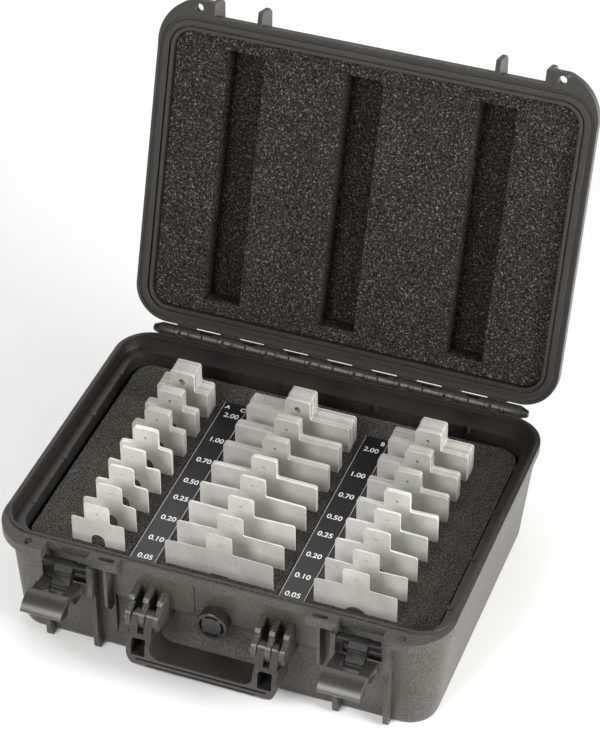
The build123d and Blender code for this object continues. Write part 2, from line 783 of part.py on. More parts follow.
def make_valve_body():
    with BuildPart() as body:
        with BuildSketch(Plane.XZ.offset(-front_wall_y + 1)) as disc:
            with Locations((0, valve_z)):
                Circle(valve_radius - 1)
        extrude(disc.sketch, valve_depth - 6)
        with BuildSketch(Plane.XZ.offset(-front_wall_y - 13)) as stem:
            with Locations((0, valve_z)):
                Circle(valve_stem - pin_fit)
        extrude(stem.sketch, 14)
    body.part.label = "valve_body"
    return body.part


def make_valve_cap():
    """Round face with four curved vent slots."""
    with BuildPart() as cap:
        with BuildSketch(Plane.XZ.offset(-front_wall_y + valve_depth - 2)) as face:
            with Locations((0, valve_z)):
                Circle(valve_radius)
            with Locations((0, valve_z)):
                with PolarLocations(0, 4, start_angle=45):
                    SlotArc(CenterArc((0, 0), 10.2, -30, 60), 2.2, mode=Mode.SUBTRACT)
        extrude(face.sketch, 2.5)
        with BuildSketch(Plane.XZ.offset(-front_wall_y + valve_depth - 5)) as skirt:
            with Locations((0, valve_z)):
                Circle(valve_radius)
                Circle(valve_radius - valve_skirt, mode=Mode.SUBTRACT)
        extrude(skirt.sketch, 3)
    cap.part.label = "valve_cap"
    return cap.part


def make_valve_seal():
    with BuildPart() as seal:
        with BuildSketch(Plane.XZ.offset(-front_wall_y)) as ring:
            with Locations((0, valve_z)):
                Circle(valve_radius - 3)
                Circle(valve_stem, mode=Mode.SUBTRACT)
        extrude(ring.sketch, 1)
    seal.part.label = "valve_seal"
    return seal.part


def main():
    os.makedirs("parts", exist_ok=True)
    pieces = [
        make_base_shell(), make_lid_shell(), make_gasket(), make_hinge_pin(), make_base_foam(),
        make_lid_foam(), make_strip(0), make_strip(1), make_handle(), make_handle_pins(),
        make_valve_body(), make_valve_cap(), make_valve_seal(),
    ]
    for side in (-1, 1):
        pieces += [make_latch_bar(side), make_latch_link(side), make_latch_lever(side), make_latch_pin(side)]
    for column in plate_sizes:
        pieces += [make_stack(column, row) for row in range(len(row_names))]
    for piece in pieces:
        export_step(piece, f"parts/{piece.label}.step")


main()
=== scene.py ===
# %% [markdown]
# A shim case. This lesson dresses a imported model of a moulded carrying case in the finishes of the
# real thing: grained plastic, open cell foam, brushed steel plates and printed strips.

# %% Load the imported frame
import json
import math

import bmesh
import bpy
from mathutils import Matrix, Vector, noise


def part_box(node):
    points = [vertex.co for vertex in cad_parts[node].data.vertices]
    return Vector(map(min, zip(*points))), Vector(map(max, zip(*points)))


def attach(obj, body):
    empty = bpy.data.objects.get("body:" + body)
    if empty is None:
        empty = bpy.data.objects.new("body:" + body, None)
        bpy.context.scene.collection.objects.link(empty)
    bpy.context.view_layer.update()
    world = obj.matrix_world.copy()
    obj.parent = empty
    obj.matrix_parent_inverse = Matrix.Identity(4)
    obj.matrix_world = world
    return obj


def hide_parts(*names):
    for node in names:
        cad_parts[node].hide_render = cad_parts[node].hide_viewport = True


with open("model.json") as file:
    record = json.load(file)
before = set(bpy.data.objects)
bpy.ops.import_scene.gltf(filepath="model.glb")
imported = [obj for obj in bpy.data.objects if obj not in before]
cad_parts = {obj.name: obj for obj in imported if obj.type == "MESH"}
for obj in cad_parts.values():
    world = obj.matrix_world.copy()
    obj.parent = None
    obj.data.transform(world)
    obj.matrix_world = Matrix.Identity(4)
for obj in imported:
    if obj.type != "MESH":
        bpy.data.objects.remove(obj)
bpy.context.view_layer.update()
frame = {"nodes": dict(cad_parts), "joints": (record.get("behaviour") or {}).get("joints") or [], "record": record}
mm = 0.001
print("nodes in the frame:", len(frame["nodes"]))

# %% [markdown]
# A few small helpers keep the later cells short: one adds an object, two close a drawn shape into a
# mesh, and two add a shader or geometry node and set or link its inputs.


# %% Helpers
def add_object(name, data):
    """A new object in the scene that shows the given data."""
    piece = bpy.data.objects.new(name, data)
    bpy.context.scene.collection.objects.link(piece)
    return piece


def thicken(shape, offset):
    """Extrude a flat sheet by an offset, which makes it a closed solid."""
    made = bmesh.ops.extrude_face_region(shape, geom=shape.faces[:])
    for item in made["geom"]:
        if isinstance(item, bmesh.types.BMVert):
            item.co += Vector(offset)


def mesh_of(shape, name):
    """A drawn shape as a mesh, with all its faces looking outwards."""
    bmesh.ops.recalc_face_normals(shape, faces=shape.faces)
    mesh = bpy.data.meshes.new(name)
    shape.to_mesh(mesh)
    shape.free()
    return mesh


def feed(tree, node, inputs):
    """Set each input of a node to a value, or link it to the output that feeds it."""
    for key, value in inputs.items():
        if isinstance(value, bpy.types.NodeSocket):
            tree.links.new(value, node.inputs[key])
        else:
            node.inputs[key].default_value = value
    return node


def add_node(tree, kind, inputs=None, **settings):
    """A new node with its settings made before its inputs are fed."""
    node = tree.nodes.new(kind)
    for key, value in settings.items():
        setattr(node, key, value)
    return feed(tree, node, inputs or {})


print("helpers ready")

# %% [markdown]
# The photograph was taken from the right, well above the rim, with a long lens. The camera stands on a
# sphere round a point in the case, so an azimuth, an elevation and a distance place it.

# %% Camera
view_azimuth = math.radians(20.55)
view_elevation = math.radians(39.0)
view_distance = 2.5015
view_target = Vector((-0.0243, 0.1229, 0.1363))
photo_width = 600
focal_pixels = 2717.0

towards_camera = Vector((
    math.sin(view_azimuth) * math.cos(view_elevation),
    -math.cos(view_azimuth) * math.cos(view_elevation),
    math.sin(view_elevation),
))
camera_data = bpy.data.cameras.new("camera")
camera_data.sensor_fit = "HORIZONTAL"
camera_data.sensor_width = 36.0
camera_data.lens = focal_pixels / photo_width * camera_data.sensor_width
camera = add_object("camera", camera_data)
camera.location = view_target + view_distance * towards_camera
camera.rotation_euler = (-towards_camera).to_track_quat("-Z", "Y").to_euler()
bpy.context.scene.camera = camera
print("lens", round(camera_data.lens, 1), "mm")

# %% [markdown]
# A white sweep under soft light. The world shows white to the camera and gives a weaker even fill to
# everything else. Three large lamps model the shapes without hard shadows.

# %% World, floor and lamps
bpy.context.scene.view_settings.view_transform = "Standard"


def make_world(fill):
    """White to the camera, and an even light of the given strength to everything else."""
    world = bpy.data.worlds.new("studio")
    bpy.context.scene.world = world
    world.use_nodes = True
    tree = world.node_tree
    tree.nodes.clear()
    paths = add_node(tree, "ShaderNodeLightPath")
    strength = add_node(tree, "ShaderNodeMapRange", {
        "Value": paths.outputs["Is Camera Ray"], "To Min": fill, "To Max": 1.0})
    background = add_node(tree, "ShaderNodeBackground", {
        "Color": (1, 1, 1, 1), "Strength": strength.outputs["Result"]})
    add_node(tree, "ShaderNodeOutputWorld", {"Surface": background.outputs["Background"]})


def add_lamp(name, location, size, power, target=(0, 0, 0.1)):
    """A square area lamp that looks at the target."""
    data = bpy.data.lights.new(name, "AREA")
    data.shape = "SQUARE"
    data.size = size
    data.energy = power
    lamp = add_object(name, data)
    lamp.location = location
    lamp.rotation_euler = (Vector(target) - Vector(location)).to_track_quat("-Z", "Y").to_euler()


make_world(fill=0.36)
add_lamp("key", (-0.6, -2.1, 1.7), 1.0, 50)
add_lamp("side", (2.3, -0.3, 1.0), 1.4, 95)
add_lamp("top", (-0.6, 1.4, 2.0), 1.4, 12)

floor_mesh = bpy.data.meshes.new("floor")
floor_mesh.from_pydata([(-6, -6, 0), (6, -6, 0), (6, 6, 0), (-6, 6, 0)], [], [(0, 1, 2, 3)])
floor = add_object("floor", floor_mesh)
floor_paint = bpy.data.materials.new("pale_floor")
floor_paint.use_nodes = True
feed(floor_paint.node_tree, floor_paint.node_tree.nodes["Principled BSDF"], {
    "Base Color": (0.97, 0.97, 0.97, 1), "Roughness": 0.9})
floor_mesh.materials.append(floor_paint)

# %% [markdown]
# Every finish is built from the same few node recipes. Object coordinates keep the grain the same size
# on every piece. Each returns the output that the next one takes.


# %% Node recipes
def new_finish(name):
    """An empty material, with its node tree, its shader and the place of each point on the piece."""
    material = bpy.data.materials.new(name)
    material.use_nodes = True
    tree = material.node_tree
    place = add_node(tree, "ShaderNodeTexCoord").outputs["Object"]
    return material, tree, tree.nodes["Principled BSDF"], place


def noise_of(tree, place, size_mm, detail=2.0, roughness=0.5):
    """Soft noise whose grain has the given size."""
    node = add_node(tree, "ShaderNodeTexNoise", {
        "Vector": place, "Scale": 1000.0 / size_mm, "Detail": detail, "Roughness": roughness})
    return node.outputs["Fac"]


def maths(tree, operation, *values):
    """The result of a sum on values or outputs."""
    return add_node(tree, "ShaderNodeMath", dict(enumerate(values)), operation=operation).outputs[0]


def ranged(tree, value, start=(0, 1), end=(0, 1)):
    """A value carried from one range to another."""
    node = add_node(tree, "ShaderNodeMapRange", {
        "Value": value, "From Min": start[0], "From Max": start[1], "To Min": end[0], "To Max": end[1]})
    return node.outputs["Result"]


def mixed(tree, factor, first, second):
    """A colour between two others."""
    node = add_node(tree, "ShaderNodeMix", {"Factor": factor, "A": first, "B": second}, data_type="RGBA")
    return node.outputs["Result"]


def bumped(tree, height, distance, strength=1.0):
    """The surface direction over small bumps."""
    node = add_node(tree, "ShaderNodeBump", {"Height": height, "Distance": distance, "Strength": strength})
    return node.outputs["Normal"]


def inside_value(tree):
    """The face value named inside: 0 on outer faces, 1 on inner ones and 2 deep in the hinge."""
    return add_node(tree, "ShaderNodeAttribute", attribute_name="inside").outputs["Fac"]


print("recipes ready")

# %% [markdown]
# The plastics have a base colour that drifts slightly, a roughness that drifts with it, and a fine bump.
# Inner faces lose most of their grain and take painted shade, and the pockets of the hinge are painted
# near black as shadow. Foam is pores and struts, with painted glints and painted shade in its pockets.
# Steel has fine brushing, cloudy marks and a tone of its own for each plate.


# %% Finishes
def finish(name, dark, light, roughness, grain, bump, metallic=0.0, shine=0.5):
    """Grained material: colours and roughness range, grain size in mm and bump height in mm."""
    material, tree, shader, place = new_finish(name)
    fine = noise_of(tree, place, grain, 1.0)
    broad = noise_of(tree, place, grain * 25, 1.0)
    tone = ranged(tree, maths(tree, "MULTIPLY_ADD", broad, 0.2, fine), (0.38, 0.82))
    inner = inside_value(tree)
    # Painted shade: faces marked inside lose most of their grain and are pulled towards the dark colour.
    keep = maths(tree, "MULTIPLY_ADD", inner, -0.82, 1.0)
    colour = mixed(tree, maths(tree, "MULTIPLY", tone, keep), (*dark, 1), (*light, 1))
    # Painted shadow: faces marked 2, deep in the hinge pockets, go near black.
    shaded = mixed(tree, ranged(tree, inner, (1, 2)), colour, (0.002, 0.002, 0.002, 1))
    feed(tree, shader, {
        "Metallic": metallic, "Specular IOR Level": shine, "Base Color": shaded,
        "Roughness": ranged(tree, fine, end=roughness),
        "Normal": bumped(tree, maths(tree, "MULTIPLY", fine, keep), bump * mm),
    })
    return material


def foam_finish(name, dark, light, glint, cell):
    """Open cell foam: dark pores and pale struts, with a few bright painted glints where a strut would catch the
    light, and painted shade in its pockets.
    """
    material, tree, shader, place = new_finish(name)
    ramp = add_node(tree, "ShaderNodeValToRGB", {"Fac": noise_of(tree, place, cell, 2.0, 0.7)})
    stops = ramp.color_ramp.elements
    stops[0].position, stops[0].color = 0.40, (*dark, 1)
    stops[1].position, stops[1].color = 0.60, (*light, 1)
    # Painted highlight: the brightest part of the noise turns into pale glints.
    stops.new(0.72).color = (*glint, 1)
    shade = ranged(tree, noise_of(tree, place, 45), (0.3, 0.7), (0.9, 1.1))
    # Painted shade: faces marked inside, down in the pockets, are made 27 percent darker.
    tone_and_pocket_shade = maths(tree, "MULTIPLY_ADD", inside_value(tree), -0.27, shade)
    toned = add_node(tree, "ShaderNodeVectorMath", {"Vector": ramp.outputs["Color"], "Scale": tone_and_pocket_shade},
                     operation="SCALE")
    cells = add_node(tree, "ShaderNodeTexVoronoi", {"Vector": place, "Scale": 1000.0 / (cell * 0.8)})
    feed(tree, shader, {
        "Roughness": 0.95, "Specular IOR Level": 0.15, "Base Color": toned.outputs["Vector"],
        "Normal": bumped(tree, cells.outputs["Distance"], 0.6 * mm, 0.8),
    })
    return material


def steel_finish(name, shade, metallic, roughness):
    """Rolled shim steel: pale and satin, with fine vertical brushing and cloudy handling marks."""
    material, tree, shader, place = new_finish(name)
    upright = add_node(tree, "ShaderNodeMapping", {"Vector": place, "Scale": (1, 1, 0.06)})
    brush = noise_of(tree, upright.outputs["Vector"], 0.5, 3.0)
    speck = noise_of(tree, place, 1.6, 4.0)
    cloud = noise_of(tree, place, 22)
    tone = ranged(tree, maths(tree, "MULTIPLY_ADD", speck, 0.8, cloud), (0.65, 1.15), (0.82, 1.06))
    island = add_node(tree, "ShaderNodeNewGeometry").outputs["Random Per Island"]
    both = maths(tree, "MULTIPLY", tone, ranged(tree, island, end=(0.74, 1.06)))
    colour = add_node(tree, "ShaderNodeVectorMath", {0: shade, "Scale": both}, operation="SCALE")
    feed(tree, shader, {
        "Metallic": metallic, "Base Color": colour.outputs["Vector"],
        "Roughness": ranged(tree, brush, end=roughness), "Normal": bumped(tree, brush, 0.02 * mm),
    })
    return material


grained = {
    # name: dark colour, light colour, roughness range, grain and bump
    "case_plastic": ((0.010, 0.0095, 0.008), (0.098, 0.090, 0.074), (0.32, 0.48), 1.3, 0.14),
    "latch_plastic": ((0.018, 0.018, 0.016), (0.040, 0.038, 0.035), (0.31, 0.35), 1.4, 0.004),
    "handle_plastic": ((0.012, 0.012, 0.010), (0.046, 0.043, 0.037), (0.28, 0.42), 0.9, 0.05),
    "valve_plastic": ((0.010, 0.010, 0.009), (0.030, 0.029, 0.026), (0.26, 0.40), 0.9, 0.04),
    "gasket_rubber": ((0.014, 0.014, 0.013), (0.022, 0.022, 0.021), (0.6, 0.75), 0.7, 0.03),
    "label_film": ((0.006, 0.006, 0.007), (0.012, 0.012, 0.013), (0.3, 0.4), 1.2, 0.01),
    "white_ink": ((0.78, 0.78, 0.77), (0.86, 0.86, 0.85), (0.4, 0.5), 0.6, 0.01),
    "edge_ink": ((0.42, 0.42, 0.41), (0.5, 0.5, 0.49), (0.4, 0.5), 0.6, 0.01),
}
finishes = {name: finish(name, *values) for name, values in grained.items()}
# A darker, duller copy of the latch plastic: painted shade for the links and the sides of the levers, which sit
# back in shadow.
finishes["latch_painted_shade"] = finish("latch_painted_shade", (0.006, 0.006, 0.006), (0.012, 0.012, 0.011),
                                (0.42, 0.5), 1.4, 0.01, shine=0.22)
finishes["pin_steel"] = finish("pin_steel", (0.4, 0.4, 0.4), (0.55, 0.55, 0.55),
                               (0.3, 0.4), 0.6, 0.02, metallic=1.0)
finishes["foam"] = foam_finish("foam", (0.016, 0.0148, 0.0125), (0.092, 0.085, 0.073),
                               (0.18, 0.165, 0.145), 1.3)
finishes["lid_foam"] = foam_finish("lid_foam", (0.005, 0.005, 0.0045), (0.040, 0.038, 0.034),
                                   (0.20, 0.19, 0.17), 1.8)
finishes["shim_steel"] = steel_finish("shim_steel", (0.57, 0.556, 0.518), 0.15, (0.40, 0.55))
finishes["thin_steel"] = steel_finish("thin_steel", (0.82, 0.805, 0.76), 0.25, (0.28, 0.40))
print("finishes", len(finishes))

# %% [markdown]
# The record says which finish each node wears and which body it moves with. Inner faces of the two
# shells are told apart by where they are when the case is shut.

# %% What the record says
slot_of = {entry["node"]: entry["material_slot"] for entry in frame["record"]["subparts"]}
body_of = {node: body for body, nodes in frame["record"]["behaviour"]["bodies"].items() for node in nodes}
hinge = next(j for j in frame["joints"] if j["name"] == "lid_hinge")
hinge_point = Vector(hinge["pos_m"])
open_angle = math.radians(hinge["range_deg"][0])
lid_turn = (Matrix.Translation(hinge_point) @ Matrix.Rotation(open_angle, 4, "X")
            @ Matrix.Translation(-hinge_point))


def paint(piece, slot_name):
    """Give a piece one finish."""
    piece.data.materials.clear()
    piece.data.materials.append(finishes[slot_name])


def finish_piece(piece, slot_name, body, *nodes, look=None):
    """Finish a new piece, let it ride with its body and let it stand for the nodes named."""
    paint(piece, look or slot_name)
    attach(piece, body)
    if nodes:
        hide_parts(*nodes)


# %% [markdown]
# The value named inside is stored on the faces of a mesh, for the finishes to read, and marks where shade
# is painted. The outer flange in front gets a value in between, which makes it a little smoother than the
# walls and a little darker with painted shade.

# %% Inner and outer faces
knuckle_pitch, knuckle_radius = 44.0, 6.4
knuckle_skin = 0.5
mouth_half_x, mouth_half_y = 0.2035, 0.1467
rim_bottom, rim_top = 0.09, 0.135
flange_line = -0.1515
hinge_line, hinge_floor = 0.1515, 0.1
flange_value = 0.6


def face_values(mesh, values):
    """Store one number for each face under the name that the finishes read."""
    layer = mesh.attributes.new("inside", "FLOAT", "FACE")
    layer.data.foreach_set("value", values)


def inner_faces(mesh, to_closed, flange_front):
    """A value for each face, from its place with the case shut."""
    values = []
    for face in mesh.polygons:
        place, normal = to_closed @ face.center, to_closed.to_3x3() @ face.normal
        front = min((to_closed @ mesh.vertices[i].co).y for i in face.vertices)
        within = abs(place.x) < mouth_half_x and abs(place.y) < mouth_half_y
        inward = place.x * normal.x + place.y * normal.y < -0.02
        top = abs(normal.z) > 0.6 and rim_bottom < place.z < rim_top
        level = top and front > flange_front
        hinge_part = place.y > hinge_line and place.z > hinge_floor
        reach = math.hypot(place.y - hinge_point.y, place.z - hinge_point.z)
        # Painted shadow for faces deep in the knuckles (2); painted shade for inner faces (1) and the front
        # flange.
        if hinge_part and reach < (knuckle_radius - knuckle_skin) * mm:
            values.append(2.0)
        elif (within and (inward or level)) or hinge_part:
            values.append(1.0)
        else:
            values.append(flange_value if top and front <= flange_front else 0.0)
    return values


print("knuckles every", knuckle_pitch, "mm")

# %% [markdown]
# Each hinge knuckle has a small pocket where the mould saves plastic. One box for each is cut out of
# the shell, on the side of the knuckle that faces forward and up.

# %% Pockets in the hinge knuckles
window_places = {
    "base_shell": [knuckle_pitch * (i - 3) for i in range(7)],
    "lid_shell": [knuckle_pitch * (i - 3.5) for i in range(8)],
}
window_size = (8.0, 3.0, 6.4)
window_lean = math.radians(52)


def with_windows(mesh, places):
    """The mesh with one pocket cut at each place along the hinge."""
    cutter = bmesh.new()
    lean = Matrix.Translation(hinge_point) @ Matrix.Rotation(window_lean, 4, "X")
    stretch = Matrix.Diagonal((*[v * mm for v in window_size], 1))
    for x in places:
        box = Matrix.Translation((x * mm, 0, knuckle_radius * mm)) @ stretch
        bmesh.ops.create_cube(cutter, size=1.0, matrix=lean @ box)
    cutter_mesh = bpy.data.meshes.new("windows")
    cutter.to_mesh(cutter_mesh)
    cutter.free()
    tool = add_object("windows", cutter_mesh)
    body = add_object("body", mesh)
    cut = body.modifiers.new("windows", "BOOLEAN")
    cut.operation = "DIFFERENCE"
    cut.solver = "EXACT"
    cut.object = tool
    shown = body.evaluated_get(bpy.context.evaluated_depsgraph_get())
    result = bpy.data.meshes.new_from_object(shown)
    for item in (tool, body):
        bpy.data.objects.remove(item)
    bpy.data.meshes.remove(cutter_mesh)
    return result


print("pockets", sum(len(places) for places in window_places.values()))

# %% [markdown]
# Moulded parts never have knife edges. A copy of each moulded node is merged into one skin, its flat
# faces are joined, and its edges get a small round, so that they catch a thin line of light.


# %% Rounded copies of the moulded nodes
def rounded_copy(node, width):
    """A merged copy of a CAD node with its sharp edges rounded, which stands for it."""
    mesh = frame["nodes"][node].data.copy()
    shell = bmesh.new()
    shell.from_mesh(mesh)
    bmesh.ops.remove_doubles(shell, verts=shell.verts, dist=1e-6)
    if node in window_places:
        shell.to_mesh(mesh)
        shell.clear()
        windowed = with_windows(mesh, window_places[node])
        shell.from_mesh(windowed)
        bpy.data.meshes.remove(windowed)
    bmesh.ops.dissolve_limit(shell, angle_limit=math.radians(0.5), verts=shell.verts, edges=shell.edges)
    shell.to_mesh(mesh)
    shell.free()
    if node == "lid_shell":
        face_values(mesh, inner_faces(mesh, lid_turn.inverted(), -1.0))
    if node == "base_shell":
        face_values(mesh, inner_faces(mesh, Matrix.Identity(4), flange_line))
    piece = add_object(node + "_finish", mesh)
    bevel = piece.modifiers.new("round", "BEVEL")
    bevel.width = width * mm
    bevel.segments = 2
    bevel.limit_method = "ANGLE"
    bevel.angle_limit = math.radians(38)
    bevel.use_clamp_overlap = True
    mesh.shade_smooth()
    mesh.set_sharp_from_angle(angle=math.radians(35))
    # The links wear the darker copy of the latch plastic, painted shade.
    paint(piece, "latch_painted_shade" if "link" in node else slot_of[node])
    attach(piece, body_of[node])
    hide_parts(node)
    return piece


edge_rounds = {"base_shell": 0.5, "lid_shell": 0.5, "handle": 0.8}
for side in ("left", "right"):
    edge_rounds[f"latch_lever_{side}"] = 0.5
    edge_rounds[f"latch_link_{side}"] = 0.4
for node, width in edge_rounds.items():
    piece = rounded_copy(node, width)
    print(piece.name, len(piece.data.polygons), "faces")

# %% [markdown]
# The nodes that need no new shape, such as pins, bars and the gasket, keep their own solids and only
# take a finish.

# %% Carried-over nodes
for node, piece in frame["nodes"].items():
    paint(piece, slot_of[node])
print("carried over", len(frame["nodes"]) - len(edge_rounds), "nodes")

# %% [markdown]
# The pressure valve's cap is a round face with a raised rim and four curved vents. It is drawn on a
# grid of rings and spokes, and each cell is set to its own height.

# %% Valve cap
valve_rings = [0, 2.4, 4.8, 7.2, 8.9, 9.1, 11.4, 11.6, 12.0, 13.2, 13.9]
valve_spokes = 96
vent_inner, vent_outer, vent_depth = 9.1, 11.4, 4.8
face_edge, face_drop, edge_drop = 12.0, 0.7, 0.5


def valve_face(name, radius, thickness):
    """Closed round cap with its face towards the front, drawn round the origin."""
    rings = [*valve_rings, radius]
    cap = bmesh.new()
    corners = {}

    def height(r, k):
        sector = (k * 360 / valve_spokes + 45) % 90
        if vent_inner < r < vent_outer and 12 < sector < 78:
            return thickness - vent_depth
        return thickness - face_drop if r < face_edge else thickness

    def at(i, k, level):
        r, k = rings[i], (k % valve_spokes if rings[i] else 0)
        if i == len(rings) - 1 and level > 0:
            level -= edge_drop
        if (i, k, level) not in corners:
            turn = 2 * math.pi * k / valve_spokes
            spot = (r * mm * math.cos(turn), -level * mm, r * mm * math.sin(turn))
            corners[i, k, level] = cap.verts.new(spot)
        return corners[i, k, level]

    def face(*verts):
        loop = list(dict.fromkeys(verts))
        if len(loop) > 2:
            cap.faces.new(loop)

    last = len(rings) - 2
    for i in range(last + 1):
        for k in range(valve_spokes):
            z = height((rings[i] + rings[i + 1]) / 2, k + 0.5)
            face(at(i, k, z), at(i + 1, k, z), at(i + 1, k + 1, z), at(i, k + 1, z))
            face(at(i, k + 1, 0), at(i + 1, k + 1, 0), at(i + 1, k, 0), at(i, k, 0))
            outside = height((rings[i + 1] + rings[i + 2]) / 2, k + 0.5) if i < last else 0
            if outside != z:
                face(at(i + 1, k, outside), at(i + 1, k + 1, outside), at(i + 1, k + 1, z), at(i + 1, k, z))
            beside = height((rings[i] + rings[i + 1]) / 2, k + 1.5)
            if beside != z:
                face(at(i, k + 1, z), at(i + 1, k + 1, z), at(i + 1, k + 1, beside), at(i, k + 1, beside))
    mesh = mesh_of(cap, name)
    mesh.shade_smooth()
    mesh.set_sharp_from_angle(angle=math.radians(30))
    return add_object(name, mesh)


low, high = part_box("valve_cap")
valve = valve_face("valve_face", (high[0] - low[0]) / 2 / mm, (high[1] - low[1]) / mm)
valve.data.transform(Matrix.Translation(((low[0] + high[0]) / 2, high[1], (low[2] + high[2]) / 2)))
finish_piece(valve, "valve_plastic", "case", "valve_cap")
print("valve cap", len(valve.data.polygons), "faces")

# %% [markdown]
# Each latch lever is a shallow scoop: its two sides run back from the thumb flap to the pin. The sides
# are drawn as the lever stands shut and then turned as the lever is. A notch leaves the link its path.

# %% Latch lever sides
lever_side_outline = (  # down and out from the pin, in mm
    (-4.0, 5.1), (5.0, 5.5), (8.5, 8.0), (20.5, 8.0), (21.7, 12.4), (27.5, 12.0), (33.5, 10.3), (38.0, 7.2),
    (41.6, 2.6), (40.4, 0.8), (33.0, -2.6), (27.4, -2.6), (26.0, 0.0), (25.0, 2.9), (22.9, 5.0), (20.0, 5.7),
    (17.1, 5.0), (15.0, 2.9), (14.3, 0.0), (13.4, -3.0), (9.0, -4.6), (2.0, -5.2), (-4.0, -3.6),
)
lever_turn = math.radians(-92.0)
side_thickness = 2.2
pin_end_gap = 0.00015
for side in ("left", "right"):
    low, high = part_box(f"latch_pin_{side}")
    pin_y, pin_z = (low[1] + high[1]) / 2, (low[2] + high[2]) / 2
    starts = {"inner": low[0] + pin_end_gap, "outer": high[0] - pin_end_gap - side_thickness * mm}
    for edge, start in starts.items():
        plate = bmesh.new()
        plate.faces.new([plate.verts.new((start, -out * mm, -down * mm)) for down, out in lever_side_outline])
        thicken(plate, (side_thickness * mm, 0, 0))
        mesh = mesh_of(plate, f"lever_side_{side}_{edge}")
        mesh.transform(Matrix.Translation((0, pin_y, pin_z)) @ Matrix.Rotation(lever_turn, 4, "X"))
        piece = add_object(mesh.name, mesh)
        # The sides wear the darker copy of the latch plastic, painted shade.
        finish_piece(piece, "latch_plastic", f"latch_lever_{side}", look="latch_painted_shade")
        print(mesh.name, "starts at", [round(v, 4) for v in mesh.vertices[0].co])

# %% [markdown]
# The foam blocks are cut from open cell foam. Each is a grid of small faces whose lines run along
# the pockets, lifted and dropped by a little noise, so that its edges look torn and not ruled.


# %% Foam blocks
def spread(low, high, step, stops):
    """Grid lines from low to high, with one at every stop."""
    marks = sorted({round(v, 5) for v in [low, high, *stops] if low <= v <= high})
    lines = []
    for a, b in zip(marks, marks[1:]):
        count = max(1, round((b - a) / step))
        lines += [a + (b - a) * i / count for i in range(count)]
    return lines + [high]


def foam_block(name, half_x, half_y, corner, thickness, pockets, step, rough):
    """Foam with its face at z 0 and its body below; pockets are (x0, x1, y0, y1, depth)."""
    xs = spread(-half_x, half_x, step, [v for p in pockets for v in p[:2]])
    ys = spread(-half_y, half_y, step, [v for p in pockets for v in p[2:4]])
    block = bmesh.new()
    grid = {}

    def at(i, j, level):
        key = (i, j, level)
        if key not in grid:
            x, y = xs[i], ys[j]
            cx, cy = half_x - corner, half_y - corner
            if abs(x) > cx and abs(y) > cy:
                away = Vector((abs(x) - cx, abs(y) - cy))
                if away.length > corner:
                    away = away.normalized() * corner
                x, y = math.copysign(cx + away.x, x), math.copysign(cy + away.y, y)
            lift = 0.0
            if level > -thickness:
                lift = rough * noise.noise(Vector((x * 0.45, y * 0.45, level * 0.1)))
                lift += 0.6 * rough * noise.noise(Vector((x * 1.3 + 7, y * 1.3, 3.0)))
            grid[key] = block.verts.new((x * mm, y * mm, (level + lift) * mm))
        return grid[key]

    def level_of(i, j):
        x, y = (xs[i] + xs[i + 1]) / 2, (ys[j] + ys[j + 1]) / 2
        for x0, x1, y0, y1, depth in pockets:
            if x0 < x < x1 and y0 < y < y1:
                return -depth
        return 0.0

    levels = {}
    for i in range(len(xs) - 1):
        for j in range(len(ys) - 1):
            z = levels[i, j] = level_of(i, j)
            block.faces.new((at(i, j, z), at(i + 1, j, z), at(i + 1, j + 1, z), at(i, j + 1, z)))
            low = -thickness
            block.faces.new((at(i, j + 1, low), at(i + 1, j + 1, low), at(i + 1, j, low), at(i, j, low)))
    sides = (  # the neighbour's step in x and y, and the two grid corners that they share
        (1, 0, (1, 0), (1, 1)), (-1, 0, (0, 1), (0, 0)), (0, 1, (1, 1), (0, 1)), (0, -1, (0, 0), (1, 0)),
    )
    for (i, j), z in levels.items():
        for di, dj, a, b in sides:
            other = levels.get((i + di, j + dj), -thickness)
            if other < z:
                block.faces.new((
                    at(i + a[0], j + a[1], other), at(i + b[0], j + b[1], other),
                    at(i + b[0], j + b[1], z), at(i + a[0], j + a[1], z),
                ))
    mesh = mesh_of(block, name)
    # Faces more than 2 mm below the foam face are marked inside, for the painted shade in the pockets.
    face_values(mesh, [1.0 if face.center.z < -2 * mm else 0.0 for face in mesh.polygons])
    print(name, len(mesh.polygons), "faces")
    return add_object(name, mesh)


foam_rough = 0.5
foam_sink = 0.4
pocket_room = 0.35
pocket_floor_gap = 0.3
foam_low, foam_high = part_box("base_foam")
foam_top = foam_high[2] / mm
stacks = sorted(node for node in frame["nodes"] if node.startswith("shims_"))
pockets = []
for node in stacks:
    low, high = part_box(node)
    pockets.append((low[0] / mm - pocket_room, high[0] / mm + pocket_room, low[1] / mm - pocket_room,
                    high[1] / mm + pocket_room, foam_top - low[2] / mm + pocket_floor_gap))
base_foam = foam_block("base_foam_block", foam_high[0] / mm, foam_high[1] / mm, 18.0,
                       foam_top - foam_low[2] / mm - foam_sink, pockets, 2.6, foam_rough)
base_foam.data.transform(Matrix.Translation((0, 0, (foam_top - foam_sink) * mm)))
finish_piece(base_foam, "foam", "case", "base_foam")

# %% [markdown]
# The lid is stored open, so its foam is drawn flat as if the lid were shut and then turned about the
# hinge by the same angle as the lid. One groove runs over each column of plates.

